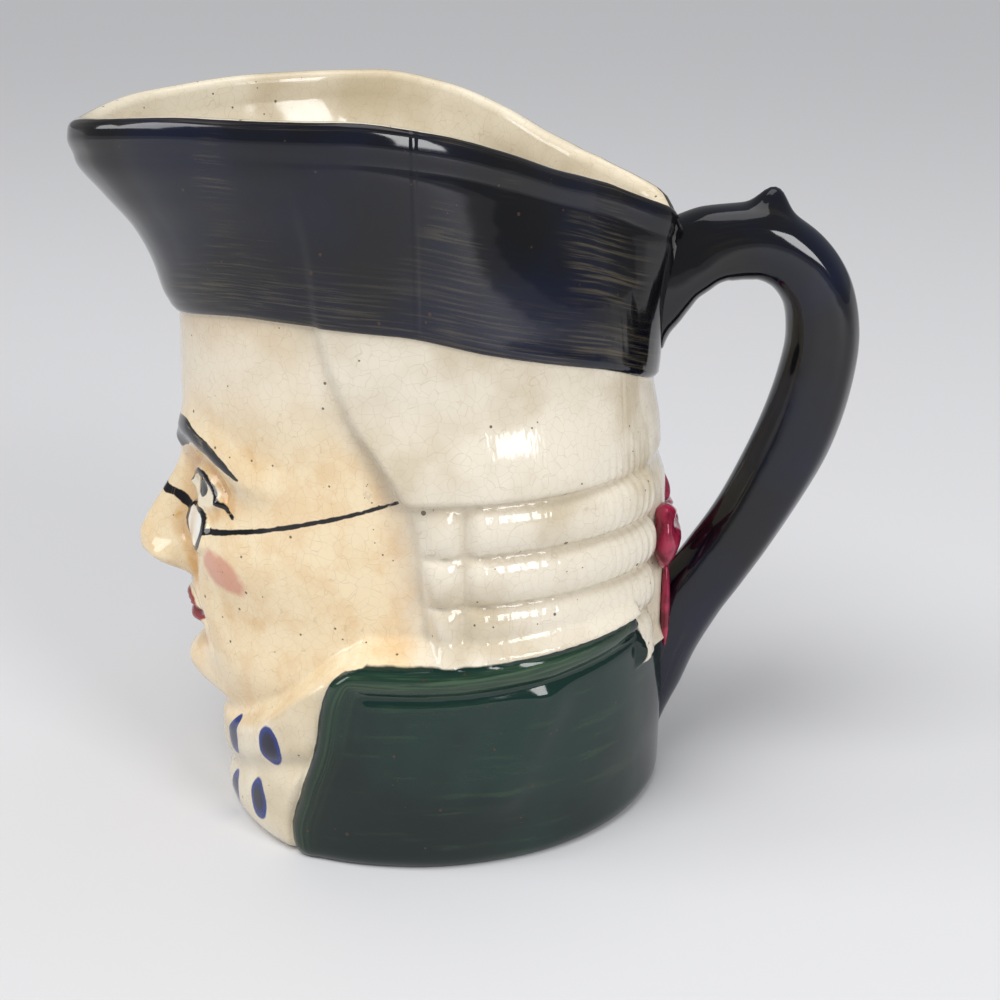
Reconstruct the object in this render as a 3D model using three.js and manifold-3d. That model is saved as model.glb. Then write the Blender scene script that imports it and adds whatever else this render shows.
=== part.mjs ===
// A slip-cast earthenware toby jug: a head in a cocked hat on a collared bust, hollow and open
// at the top, with a loop handle at its back. Body, handle and bow are one casting.
// Millimetres, +Z up. The face looks along -Y, and the origin is under the middle of the jug.
import * as THREE from "three";
import { mergeVertices } from "three/addons/utils/BufferGeometryUtils.js";
import Module from "manifold-3d";

// Driving sizes
const jugHeight = 125;
const wall = 4;
const rimWall = 3.6;
const floorThickness = 5;
const footRingWidth = 5;
const footRecess = 1.2;
const handleWidth = 13.5;
const handleThickness = 13.2;
const handleReach = 75.8; // from the jug's upright axis to the outside of the loop
const knobHeight = 2.9;
const knobWidth = 5.4;
const knobAlong = 0.172; // share of the handle's length, from the hat, where the thumb knob stands

// The free form is laid out in 125 parts of the jug's height.
const part = jugHeight / 125;

// How finely each surface is cut into facets
const aroundFace = 18;
const aroundBack = 17;
const cavityAround = 36;
const handleAround = 12;
const handleSteps = 24;

const degrees = Math.PI / 180;
const wasm = await Module();
wasm.setup();

// A smooth curve through a few [place, value] points, level past both ends.
function through(points) {
  const slopes = points.map((point, i) => {
    if (i === 0 || i === points.length - 1) return 0;
    const before = (point[1] - points[i - 1][1]) / (point[0] - points[i - 1][0]);
    const after = (points[i + 1][1] - point[1]) / (points[i + 1][0] - point[0]);
    return before * after <= 0 ? 0 : (2 * before * after) / (before + after);
  });
  return (place) => {
    if (place <= points[0][0]) return points[0][1];
    if (place >= points.at(-1)[0]) return points.at(-1)[1];
    const i = points.findIndex((point) => point[0] > place) - 1;
    const span = points[i + 1][0] - points[i][0];
    const s = (place - points[i][0]) / span;
    const [from, to] = [points[i][1], points[i + 1][1]];
    const rise = s * s * (3 - 2 * s);
    const lead = s * (1 - s) * (1 - s) * span * slopes[i];
    const trail = s * s * (s - 1) * span * slopes[i + 1];
    return from + (to - from) * rise + lead + trail;
  };
}

// 0 below low, 1 above high, eased between them.
const ease = (value, low, high) => THREE.MathUtils.smoothstep(value, low, high);
const mix = THREE.MathUtils.lerp;

// Rows from several stretches, each [start, end, steps].
function spaced(stretches) {
  const rows = [stretches[0][0]];
  for (const [start, end, steps] of stretches)
    for (let i = 1; i <= steps; i++) rows.push(mix(start, end, i / steps));
  return rows;
}

// A soft mound or hollow on the face, at x and z, as wide and tall as its radii.
const mound = (x, z, at) =>
  at.lift * Math.exp(-(((x - at.x) / at.wide) ** 2) - ((z - at.z) / at.tall) ** 2);

// A soft ridge or groove along a line of [x, z] points.
function ridge(x, z, line) {
  let nearest = Infinity;
  for (let i = 1; i < line.path.length; i++) {
    const [ax, az] = line.path[i - 1];
    const [bx, bz] = line.path[i];
    const along = ((x - ax) * (bx - ax) + (z - az) * (bz - az)) / ((bx - ax) ** 2 + (bz - az) ** 2);
    const s = THREE.MathUtils.clamp(along, 0, 1);
    nearest = Math.min(nearest, Math.hypot(x - mix(ax, bx, s), z - mix(az, bz, s)));
  }
  return line.lift * Math.exp(-((nearest / line.wide) ** 2));
}

// Heights that go round the jug. Turn is 0 at the face and 180 at the handle.
const hatLine = through([[0, 89.5], [48, 93], [85, 92], [110, 88.5], [140, 84], [180, 77]]);
const rimLine = through([[0, 121], [20, 123], [45, 124.8], [75, 125], [95, 123], [115, 119.5], [133, 116],
  [154, 112.5], [164, 109], [180, 105]]);
const jawLine = through([[0, 17.5], [25, 18.5], [45, 23], [62, 32], [72, 36]]);
const collarTop = through([[68, 35.5], [76, 37.7], [100, 37.8], [128, 38.8], [149, 40], [156, 29.5],
  [180, 29]]);
const coatFront = through([[0, 56.5], [5, 56], [13, 59.5], [22, 64.5], [33, 67.5], [38, 74]]);
const wigFront = through([[36, 94], [47, 91.6], [61, 87.8], [66, 84.5], [71, 80], [79, 71], [94, 64]]);

// Radii of the plain forms under the carving.
const bustRadius = through([[0, 36], [21, 37.3], [35, 38.2], [58, 39.6], [85, 38.4], [104, 38.2], [125, 39],
  [142, 40], [154, 40.8], [180, 42.2]]);
const rimRadius = through([[0, 56.5], [10, 55.7], [20, 53.6], [29, 49.8], [45, 44.8], [57, 42.7], [75, 39.8],
  [84, 37.6], [92, 35.8], [100, 34.3], [114, 32.1], [133, 30.6], [148, 31.4], [156, 34], [163, 38.6],
  [170, 41.6], [180, 42]]);
const hatFlare = through([[0, 0], [0.11, 0.09], [0.27, 0.18], [0.45, 0.35], [0.65, 0.67], [0.84, 0.96],
  [0.93, 1]]);
const headFront = through([[16, 39.5], [24, 41], [40, 41.6], [62, 41.8], [76, 42.4], [90, 42]]);
const headSide = through([[16, 30], [30, 32.6], [60, 33.6], [90, 33.6]]);
const headBack = through([[30, 40.6], [55, 40.4], [68, 40.4], [78, 39.2], [90, 38.4]]);
const bustFoot = through([[0, -0.8], [2.5, -0.1], [9, 0], [16, 0.3], [30, 0]]);

const nose = {
  lift: through([[40.6, 0], [42.4, 4], [44.2, 9.4], [46.5, 10.6], [49, 9.8], [55, 6], [61, 2.6], [66, 1.2],
    [71, 0]]),
  half: through([[41, 6], [46, 5.6], [52, 4.4], [60, 3.9], [68, 5.5]]),
};
const faceMounds = [
  { x: 12.6, z: 60.4, wide: 8.2, tall: 5.2, lift: -3.6 }, // eye socket
  { x: 12.6, z: 60, wide: 5.2, tall: 3.8, lift: 2.7 }, // eyeball
  { x: 5.9, z: 44.7, wide: 2.8, tall: 2.5, lift: 3.4 }, // wing of the nose
  { x: 20, z: 50, wide: 8.5, tall: 7.5, lift: 2.2 }, // cheekbone
  { x: 15, z: 39, wide: 4.6, tall: 6.5, lift: 1.4 }, // cheek beside the mouth
  { x: 0, z: 38.3, wide: 8.5, tall: 3.6, lift: 1.7 }, // upper lip's mass
  { x: 0, z: 28.2, wide: 8, tall: 2, lift: -1.7 }, // hollow over the chin
  { x: 0, z: 22.6, wide: 8.5, tall: 4.6, lift: 3.6 }, // chin
  { x: 21, z: 30, wide: 8, tall: 6.5, lift: 1 }, // jaw
];
const faceRidges = [
  { path: [[4, 66], [11, 68.4], [19, 67.8], [25, 64.4]], wide: 3, lift: 1.6 }, // brow
  { path: [[8.2, 45], [11.2, 40], [13, 34], [12.6, 30]], wide: 1.7, lift: -1.4 }, // fold beside the mouth
  { path: [[0, 36.4], [3.2, 37], [10, 34.4]], wide: 1.6, lift: 1.5 }, // upper lip
  { path: [[0, 32], [5, 32.2], [9.4, 33.8]], wide: 1.9, lift: 1.9 }, // lower lip
  { path: [[0, 34.4], [4, 34.7], [10.8, 34.2]], wide: 0.9, lift: -1.3 }, // line of the mouth
];

// Side curls of the wig: rolls one above another, each ending in a knob by the face.
const curl = { rows: 3, top: 64, pitch: 8.7, lift: 2.3, start: 103, end: 163, knob: 96.5 };

// The queue of hair down the back, and the tiers of the neckcloth.
const queue = { half: 9, top: 60, lift: 1.4 };
const neckcloth = { sag: 6, spread: 7.5, at: 22, lift: 1.5 };

// Radius of the head with no carving on it.
function headRadius(turn, z) {
  const [s, c] = [Math.sin(turn * degrees), Math.cos(turn * degrees)];
  const ahead = c > 0 ? headFront(z) : headBack(z);
  return 1 / Math.hypot(s / headSide(z), c / ahead);
}

// Radius of the jug's form below the hat, with no carving on it.
function plainRadius(turn, z) {
  const bust = bustRadius(turn) + bustFoot(z);
  const seam = turn < 72 ? jawLine(turn) : collarTop(turn);
  return mix(bust, headRadius(turn, z), ease(z, seam - 1, seam + 3.5));
}

function faceCarving(turn, z, radius) {
  const x = radius * Math.sin(turn * degrees);
  let lift = nose.lift(z) * Math.exp(-((x / nose.half(z)) ** 2));
  for (const at of faceMounds) lift += mound(x, z, at);
  for (const line of faceRidges) lift += ridge(x, z, line);
  const seam = jawLine(turn);
  return lift * ease(z, seam - 1, seam + 3.5) * (1 - ease(turn, 62, 76));
}

function wigCarving(turn, z, radius) {
  const shown = ease(turn - wigFront(z), -1, 2.5) * ease(z, collarTop(turn) - 1, collarTop(turn) + 0.5);
  let lift = 1.1 + 1.3 * ease(z, curl.top - 1, curl.top + 1.5) * (1 - ease(z, curl.top + 3, curl.top + 16));
  const row = (curl.top - z) / curl.pitch;
  if (row > 0 && row < curl.rows + 0.4) {
    const across = 2 * (row - Math.floor(row)) - 1;
    const rounded = Math.sqrt(Math.max(0, 1 - across * across));
    const roll = ease(turn, curl.start - 3, curl.start + 2) * (1 - ease(turn, curl.end - 4, curl.end + 1));
    const knob = Math.exp(-((((turn - curl.knob) * degrees * radius) / 2.9) ** 2));
    lift += curl.lift * rounded * Math.max(roll, 0.8 * knob);
  }
  const fromMiddle = radius * Math.sin(turn * degrees);
  const inQueue = turn > 90 ? 1 - ease(fromMiddle, queue.half - 1, queue.half + 1) : 0;
  return shown * mix(lift, 1.1 + queue.lift, inQueue * (1 - ease(z, queue.top - 2, queue.top + 4)));
}

function clothCarving(turn, z, radius) {
  const x = radius * Math.sin(turn * degrees);
  const fold = neckcloth.sag + neckcloth.spread * (x / neckcloth.at) ** 2;
  const upper = ease(z, fold - 1, fold + 2.5) * (1 - ease(z, fold + 7, fold + 15));
  return neckcloth.lift * (upper + 0.7 * Math.exp(-(((z - fold + 5) / 3) ** 2)));
}

function coatCarving(turn, z, radius) {
  const belowTop = collarTop(turn) - z;
  const fromFront = (turn - coatFront(z)) * degrees * radius;
  const inside = Math.min(belowTop, fromFront);
  const roll = 0.9 * Math.exp(-(((inside - 1.8) / 1.5) ** 2));
  const crease = 0.5 * Math.exp(-(((inside - 4.6) / 0.9) ** 2));
  const rear = 1 - 0.6 * ease(turn, 150, 158);
  return ease(inside, -1.2, 1.4) * rear * (1.1 + roll - crease);
}

// Carved radius of the jug below the hat.
function bodyRadius(turn, z) {
  const radius = plainRadius(turn, z);
  const belowJaw = 1 - ease(z, jawLine(turn) - 2, jawLine(turn) + 1);
  const inCloth = turn < 75 ? belowJaw * (1 - ease(turn - coatFront(z), -2, 0)) : 0;
  return radius + faceCarving(turn, z, radius) + wigCarving(turn, z, radius)
    + coatCarving(turn, z, radius) + inCloth * clothCarving(turn, z, radius);
}

// Radius and height on the hat, from its lower edge at 0 to the top of its rim at 1.
function hatPoint(turn, up) {
  const low = hatLine(turn);
  const z = mix(low, rimLine(turn), up);
  const bottom = Math.max(bodyRadius(turn, low) + 0.9, headRadius(turn, low) + 1.2);
  const edge = rimRadius(turn) + rimWall / part / 2;
  const lip = 0.5 * Math.exp(-(((up - 0.94) / 0.05) ** 2)) - 1.2 * ease(up, 0.95, 1.02);
  return { radius: mix(bottom, edge, hatFlare(up)) + lip, z };
}

// A cylinder's mesh with every vertex moved by place(turn, level, fromAxis), where turn runs from
// -180 to 180 degrees, level counts the rows from the bottom and fromAxis is 0 only in the middle of an end.
function moulded(turns, levels, place) {
  const shape = new THREE.CylinderGeometry(1, 1, 1, turns.length, levels - 1, false);
  shape.deleteAttribute("normal");
  shape.deleteAttribute("uv");
  const at = shape.getAttribute("position");
  for (let i = 0; i < at.count; i++) {
    const fromAxis = Math.round(Math.hypot(at.getX(i), at.getZ(i)));
    const share = Math.atan2(at.getX(i), at.getZ(i)) / (2 * Math.PI);
    const column = (Math.round(share * turns.length) + turns.length) % turns.length;
    const level = Math.round((at.getY(i) + 0.5) * (levels - 1));
    at.setXYZ(i, ...place(turns[column], level, fromAxis));
  }
  return solidOf(shape);
}

// A three.js geometry as a solid that can be joined and cut.
function solidOf(shape) {
  shape.deleteAttribute("normal");
  shape.deleteAttribute("uv");
  const closed = mergeVertices(shape, 1e-4);
  return new wasm.Manifold(new wasm.Mesh({
    numProp: 3,
    vertProperties: new Float32Array(closed.getAttribute("position").array),
    triVerts: new Uint32Array(closed.index.array),
  }));
}

// Turns round the jug, as the cylinder counts them: from the face through one side, then back.
function turnsAround(half) {
  return [...half.slice(0, -1), 180, ...half.slice(1, -1).reverse().map((turn) => -turn)];
}

const onJug = (turn, radius, z) => [
  part * radius * Math.sin(turn * degrees),
  -part * radius * Math.cos(turn * degrees),
  part * z,
];

// The outside, closed over the top by a lid that the cavity later cuts away.
function outside() {
  const bodyRows = spaced([[0, 1.2, 1], [1.2, 16.2, 6], [16.2, 70.2, 25], [70.2, 90, 5]]).map((z) => z / 90);
  const hatRows = [...spaced([[0.015, 0.09, 1], [0.09, 0.9, 6]]), 0.96, 1];
  const levels = bodyRows.length + hatRows.length;
  const turns = turnsAround(spaced([[0, 60, aroundFace], [60, 180, aroundBack]]));
  const lidDip = 6;
  return moulded(turns, levels, (turn, level, fromAxis) => {
    const side = Math.abs(turn);
    if (!fromAxis) return [0, 0, level ? part * (rimLine(90) - lidDip) : 0];
    if (level < bodyRows.length) {
      const z = bodyRows[level] * hatLine(side);
      return onJug(turn, bodyRadius(side, z), z);
    }
    const { radius, z } = hatPoint(side, hatRows[level - bodyRows.length]);
    return onJug(turn, radius, z);
  });
}

// The space inside: the plain form, a wall's thickness in, and out through the top.
function cavity() {
  const floor = floorThickness / part;
  const corner = 5;
  const rows = [0, 0.03, 0.07, ...spaced([[0.15, 0.9, 6]]), 1];
  const above = [0.2, 0.42, 0.62, 0.8, 1, 1.12];
  const turns = turnsAround(spaced([[0, 180, cavityAround / 2]]));
  return moulded(turns, rows.length + above.length, (turn, row, fromAxis) => {
    const side = Math.abs(turn);
    const roof = rimLine(90) + corner;
    if (!fromAxis) return [0, 0, part * (row ? roof : floor)];
    if (row < rows.length) {
      const z = mix(floor, hatLine(side), rows[row]);
      const rounded = corner * (1 - Math.sqrt(1 - (1 - Math.min(1, (z - floor) / corner)) ** 2));
      return onJug(turn, plainRadius(side, z) - wall / part - rounded, z);
    }
    const up = above[row - rows.length];
    const { radius, z } = hatPoint(side, Math.min(up, 0.9));
    const inner = up < 0.9 ? radius : rimRadius(side) + rimWall / part / 2;
    const level = up < 0.9 ? z : mix(hatLine(side), rimLine(side), up);
    return onJug(turn, inner - mix(wall, rimWall, up) / part, level);
  });
}

// The shallow recess under the foot, inside the ring that the jug stands on.
function footHollow() {
  const ring = footRingWidth / part;
  const turns = turnsAround(spaced([[0, 180, cavityAround / 2]]));
  return moulded(turns, 2, (turn, level, fromAxis) => {
    const z = level ? footRecess : -footRecess;
    const radius = bustRadius(Math.abs(turn)) + bustFoot(0) - ring - (level ? footRecess : 0) / part;
    return fromAxis ? [...onJug(turn, radius, 0).slice(0, 2), z] : [0, 0, z];
  });
}

// The middle line of the handle in the y, z plane, from the hat's back to the collar's.
const loopTop = handleReach / part - handleThickness / part / 2;
const handleLine = new THREE.CatmullRomCurve3(
  [[38.4, 91.5], [42, 92.6], [46.5, 95.4], [50.6, 98.4], [loopTop - 11.7, 99.8], [loopTop - 5.9, 97.4],
    [loopTop - 1.7, 91.9], [loopTop, 83.8], [loopTop - 1, 75.2], [loopTop - 3.7, 65.8], [loopTop - 7.6, 57.1],
    [56.8, 48.2], [52, 40.8], [47.6, 34.2], [43.9, 26.2], [42.1, 19.6], [40.8, 14.4], [40, 9], [39.3, 7]]
    .map(([y, z]) => new THREE.Vector3(0, part * y, part * z)),
);
// How much thicker the handle is than its middle, along its length from the hat down.
const handleSwell = through([[0, 1.85], [0.03, 1.8], [0.072, 1.56], [0.113, 1.22], [0.14, 1.07], [0.17, 0.99],
  [0.22, 0.92], [0.27, 0.95], [0.34, 1], [0.485, 1.07], [0.64, 0.99], [0.77, 1.01], [0.843, 0.93], [0.9, 0.8],
  [0.94, 0.66], [1, 0.42]]);
const handleSpread = through([[0, 1.15], [0.15, 1], [0.45, 0.95], [0.7, 0.9], [0.85, 0.86], [1, 0.6]]);

// The handle at a share of its length: its middle, the way towards the fingers, and its half sizes.
function handleSection(along) {
  const ahead = handleLine.getTangentAt(along);
  return {
    middle: handleLine.getPointAt(along),
    inward: new THREE.Vector3(0, ahead.z, -ahead.y),
    halfWidth: (handleWidth / 2) * handleSpread(along),
    halfThickness: (handleThickness / 2) * handleSwell(along),
  };
}

function handle() {
  const rows = handleSteps + 1;
  const squareness = 0.82;
  const turns = spaced([[0, 360, handleAround]]).slice(0, -1);
  return moulded(turns, rows, (turn, level, fromAxis) => {
    const { middle, inward, halfWidth, halfThickness } = handleSection(1 - level / handleSteps);
    const [s, c] = [Math.sin(turn * degrees), Math.cos(turn * degrees)];
    const across = Math.sign(s) * Math.abs(s) ** squareness * halfWidth;
    const deep = Math.sign(c) * Math.abs(c) ** squareness * halfThickness;
    return middle.addScaledVector(inward, fromAxis * deep).toArray().with(0, fromAxis * across);
  });
}

// A pointed knob for the thumb, standing out of the top of the loop.
function thumbKnob() {
  const { middle, inward, halfThickness } = handleSection(knobAlong);
  const outward = inward.negate();
  const root = halfThickness / 2;
  const half = knobWidth / 2;
  const profile = [[0, -root], [half * 1.2, -root], [half, 0], [half * 0.56, knobHeight * 0.6],
    [half * 0.32, knobHeight * 0.9], [0, knobHeight]].map(([r, z]) => new THREE.Vector2(r, z));
  const knob = new THREE.LatheGeometry(profile, 10);
  knob.applyQuaternion(new THREE.Quaternion().setFromUnitVectors(new THREE.Vector3(0, 1, 0), outward));
  const seat = middle.addScaledVector(outward, halfThickness);
  knob.translate(0, seat.y, seat.z);
  return solidOf(knob);
}

// The ribbon bow on the queue: two loops, a knot and two tails.
function bow() {
  const lump = (x, y, z, wide, deep, tall, tilt) => {
    const ball = new THREE.SphereGeometry(part, 10, 7);
    ball.scale(wide, deep, tall).rotateY(tilt).translate(part * x, part * y, part * z);
    return solidOf(ball);
  };
  const knot = lump(0, 42.8, 48.4, 2.8, 2.6, 3.2, 0);
  return [-1, 1].reduce((made, hand) => made
    .add(lump(hand * 7, 41.6, 49, 6.4, 2.9, 5.2, hand * 0.25))
    .add(lump(hand * 6.4, 42.2, 35, 2.2, 1.6, 8.6, hand * -0.12)), knot);
}

const jugSolid = [handle(), thumbKnob(), bow()]
  .reduce((made, piece) => made.add(piece), outside())
  .subtract(cavity())
  .subtract(footHollow());

// A joined solid as a three.js geometry.
function geometryOf(solid) {
  const mesh = solid.getMesh();
  const shape = new THREE.BufferGeometry();
  shape.setAttribute("position", new THREE.BufferAttribute(mesh.vertProperties, 3));
  shape.setIndex(new THREE.BufferAttribute(mesh.triVerts, 1));
  shape.computeVertexNormals();
  return shape;
}

const glaze = new THREE.MeshStandardMaterial({ color: 0xe9dcc0, roughness: 0.12, metalness: 0 });
const jug = new THREE.Mesh(geometryOf(jugSolid), glaze);
jug.name = "jug";

// The origin goes under the middle of the jug's length.
jug.geometry.computeBoundingBox();
const { min, max } = jug.geometry.boundingBox;
jug.position.y = -(min.y + max.y) / 2;

const tobyJug = new THREE.Group();
tobyJug.add(jug);
export default tobyJug;
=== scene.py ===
import math
import bpy
import numpy as np
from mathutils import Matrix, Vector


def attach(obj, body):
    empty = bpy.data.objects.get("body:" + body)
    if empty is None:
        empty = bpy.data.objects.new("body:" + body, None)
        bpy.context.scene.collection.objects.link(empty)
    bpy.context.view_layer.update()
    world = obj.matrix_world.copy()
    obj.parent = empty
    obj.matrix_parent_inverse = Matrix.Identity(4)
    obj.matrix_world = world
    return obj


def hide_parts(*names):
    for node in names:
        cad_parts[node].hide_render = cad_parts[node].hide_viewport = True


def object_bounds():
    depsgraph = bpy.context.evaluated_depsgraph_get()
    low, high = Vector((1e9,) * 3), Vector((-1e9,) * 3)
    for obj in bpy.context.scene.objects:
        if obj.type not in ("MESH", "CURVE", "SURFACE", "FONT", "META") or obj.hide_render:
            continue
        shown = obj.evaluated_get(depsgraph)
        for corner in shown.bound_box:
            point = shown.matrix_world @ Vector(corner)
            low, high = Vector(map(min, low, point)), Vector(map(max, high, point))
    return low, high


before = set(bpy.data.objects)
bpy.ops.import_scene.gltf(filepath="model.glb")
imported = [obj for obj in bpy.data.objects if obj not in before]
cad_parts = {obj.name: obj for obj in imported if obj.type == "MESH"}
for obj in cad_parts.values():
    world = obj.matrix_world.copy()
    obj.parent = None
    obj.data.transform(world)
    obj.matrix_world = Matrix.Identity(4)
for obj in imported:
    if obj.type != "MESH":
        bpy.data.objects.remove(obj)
cadBox = [list(corner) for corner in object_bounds()]
print("frame loaded")

mm = 0.001
part = cadBox[1][2] / mm / 125  # the form is laid out in 125 parts of the jug's height
handleReach = 75.71  # from the jug's upright axis to the outside of the handle, in parts
axisShift = cadBox[1][1] / mm - handleReach * part  # where that axis stands along y


# Curves and soft steps that the carving is made of
def through(points):
    places, values = np.array(points, float).T
    rise = np.diff(values) / np.diff(places)
    slopes = np.zeros_like(places)
    before, after = rise[:-1], rise[1:]
    same = before * after > 0
    slopes[1:-1] = np.where(same, 2 * before * after / np.where(same, before + after, 1), 0)

    def value(place):
        place = np.clip(place, places[0], places[-1])
        i = np.clip(np.searchsorted(places, place, side="right") - 1, 0, len(places) - 2)
        span = places[i + 1] - places[i]
        s = (place - places[i]) / span
        eased = s * s * (3 - 2 * s)
        bend = s * (1 - s) * ((1 - s) * slopes[i] - s * slopes[i + 1])
        return values[i] + (values[i + 1] - values[i]) * eased + span * bend

    return value


def ease(value, low, high):
    s = np.clip((value - low) / (high - low), 0, 1)
    return s * s * (3 - 2 * s)


def mix(a, b, share):
    return a + (b - a) * share


def softBump(value, middle, wide):
    return np.exp(-(((value - middle) / wide) ** 2))


def strokeGap(x, z, path):  # distance to a line of points, and how far along it the nearest one is
    nearest = np.full(np.shape(x), 1e3)
    along = np.zeros(np.shape(x))
    for i in range(len(path) - 1):
        (ax, az), (bx, bz) = path[i], path[i + 1]
        s = ((x - ax) * (bx - ax) + (z - az) * (bz - az)) / ((bx - ax) ** 2 + (bz - az) ** 2)
        s = np.clip(s, 0, 1)
        gap = np.hypot(x - mix(ax, bx, s), z - mix(az, bz, s))
        closer = gap < nearest
        along = np.where(closer, (i + s) / (len(path) - 1), along)
        nearest = np.where(closer, gap, nearest)
    return nearest, along


def ridge(x, z, path, wide, lift):
    return lift * np.exp(-((strokeGap(x, z, path)[0] / wide) ** 2))


def mound(x, z, at):
    return at["lift"] * np.exp(-(((x - at["x"]) / at["wide"]) ** 2) - ((z - at["z"]) / at["tall"]) ** 2)


def sweep(*stretches):  # row places from several stretches of (start, end, steps)
    rows = [stretches[0][0]]
    for start, end, steps in stretches:
        rows += [start + (end - start) * i / steps for i in range(1, steps + 1)]
    return rows


# Wall of the jug. Turn is 0 at the face and 180 at the handle, heights are in parts.
wallSize = {
    "thick": 4, "rimThick": 3.6, "floor": 5, "floorCorner": 5, "footRing": 5, "footRecess": 1.2,
    "hatLine": [[0, 89.5], [48, 93], [85, 92], [110, 88.5], [140, 84], [180, 77]],
    "rimLine": [[0, 121], [20, 123], [45, 124.8], [75, 125], [95, 123], [115, 119.5], [133, 116],
                [154, 112.5], [164, 109], [180, 105]],
    "jawLine": [[0, 17.5], [25, 18.5], [45, 23], [62, 32], [72, 36]],
    "neckLine": [[68, 35.5], [76, 37.7], [100, 37.8], [128, 38.8], [149, 40], [156, 29.5], [180, 29]],
    "collarTop": [[60, 36.2], [68, 37.3], [76, 37.8], [100, 37.8], [128, 38.8], [149, 40], [165, 40.8]],
    "collarEnd": 153.5, "coatTop": 29.3,
    "coatFront": [[0, 56.5], [5, 56], [13, 59.5], [22, 64], [30, 66], [34, 68.2], [36.5, 72], [37.8, 77]],
    "wigFront": [[36, 94], [47, 91.6], [61, 87.8], [66, 84.5], [71, 80], [79, 71], [94, 64]],
    "bust": [[0, 36], [21, 37.3], [35, 38.2], [58, 39.6], [85, 38.4], [104, 38.2], [125, 39],
             [142, 40], [154, 40.8], [180, 42.2]],
    "rim": [[0, 56.5], [10, 55.7], [20, 53.6], [29, 49.8], [45, 44.8], [57, 42.7], [75, 39.8],
            [84, 37.6], [92, 35.8], [100, 34.3], [114, 32.1], [133, 30.6], [148, 31.4], [156, 34],
            [163, 38.6], [170, 41.6], [180, 42]],
    "hatFlare": [[0, 0], [0.11, 0.09], [0.27, 0.18], [0.45, 0.35], [0.65, 0.67], [0.84, 0.96], [0.93, 1]],
    "headFront": [[16, 39.5], [24, 41], [40, 41.6], [62, 41.8], [76, 42.4], [90, 42]],
    "headSide": [[16, 30], [30, 32.6], [60, 33.6], [90, 33.6]],
    "headBack": [[30, 40.6], [55, 40.4], [68, 39.9], [78, 38.8], [90, 38.4]],
    "bustFoot": [[0, -0.8], [2.5, -0.1], [9, 0], [16, 0.3], [30, 0]],
    "hatStep": 0.9, "rimRound": 1.6, "rimLip": 0.24,
}
curve = {name: through(points) for name, points in wallSize.items() if isinstance(points, list)}

noseSize = {
    "lift": [[40.4, 0], [41.6, 3.4], [43, 8.4], [45, 10.4], [47, 10.5], [50, 9.2], [55, 6.1], [61, 2.8],
             [66, 1.3], [71, 0]],
    "half": [[41, 5.6], [46, 5.2], [52, 4.2], [60, 3.8], [68, 5.5]],
}
noseLift = through(noseSize["lift"])
noseHalf = through(noseSize["half"])

faceMounds = [
    {"x": 12.6, "z": 60.4, "wide": 8.2, "tall": 5.4, "lift": -3.8},  # eye socket
    {"x": 12.6, "z": 60, "wide": 5.4, "tall": 3.9, "lift": 3.0},  # eyeball
    {"x": 5.6, "z": 44.6, "wide": 2.4, "tall": 2.4, "lift": 3.4},  # wing of the nose
    {"x": 2.9, "z": 41.9, "wide": 1.4, "tall": 0.9, "lift": -1.3},  # nostril
    {"x": 20, "z": 50, "wide": 8.5, "tall": 7.5, "lift": 2.3},  # cheekbone
    {"x": 15, "z": 39, "wide": 4.6, "tall": 6.5, "lift": 1.5},  # cheek beside the mouth
    {"x": 0, "z": 38.6, "wide": 8.5, "tall": 3.4, "lift": 1.7},  # upper lip's mass
    {"x": 0, "z": 39.4, "wide": 1.3, "tall": 2.2, "lift": -0.8},  # groove under the nose
    {"x": 0, "z": 28.6, "wide": 8, "tall": 1.9, "lift": -1.8},  # hollow over the chin
    {"x": 0, "z": 22.8, "wide": 8.2, "tall": 4.6, "lift": 3.7},  # chin
    {"x": 21, "z": 30, "wide": 8, "tall": 6.5, "lift": 1.1},  # jaw
    {"x": 26, "z": 68, "wide": 7, "tall": 7, "lift": -0.9},  # temple
]
eyeSize = {
    "lid": [(6.9, 59.2), (8.6, 61.1), (11, 62.4), (13.8, 62.6), (16.6, 61.4), (18.8, 59.2)],
    "lidFold": [(7.6, 62.6), (10.6, 64.8), (14, 65), (17.4, 63.6), (20, 60.8)],
    "lowerLid": [(7.2, 58.8), (9.6, 57.4), (12.8, 56.9), (16, 57.5), (18.6, 58.9)],
    "brow": [(4.4, 66.6), (8, 69.2), (13, 70.2), (18.6, 68.8), (24.4, 64.8)],
    "lidTail": [(18.6, 59.4), (22, 57.6)], "white": (12.8, 59.6), "whiteHalf": (6, 2.6),
    "iris": (12.7, 60.1), "irisHalf": 1.9,
}
mouthSize = {
    "top": [[0, 36.7], [2.4, 37.5], [6, 36.5], [10.6, 34.2]],
    "bottom": [[0, 30.8], [4, 31.2], [8, 32.6], [10.6, 34.2]],
    "line": [(0, 34.2), (2.2, 34.6), (6, 34.1), (10.8, 34.5)],
    "fold": [(8, 45.4), (11, 40.6), (12.8, 35), (12.4, 30.6)],
}
lipTop = through(mouthSize["top"])
lipBottom = through(mouthSize["bottom"])
glassesSize = {"x": 11.9, "z": 52.6, "half": 5.6, "tall": 3.5, "square": 2.6, "line": 0.42, "raise": 0.7,
               "bridge": [(6.4, 53.6), (3.4, 55.6), (0, 56.2)]}


def eyeglass(x, z):  # below 1 inside the rounded glass
    size = glassesSize
    across = np.abs((x - size["x"]) / size["half"]) ** size["square"]
    upright = np.abs((z - size["z"]) / size["tall"]) ** size["square"]
    return (across + upright) ** (1 / size["square"])


def headRadius(turn, z):
    angle = np.radians(turn)
    ahead = np.where(np.cos(angle) > 0, curve["headFront"](z), curve["headBack"](z))
    return 1 / np.hypot(np.sin(angle) / curve["headSide"](z), np.cos(angle) / ahead)


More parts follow.
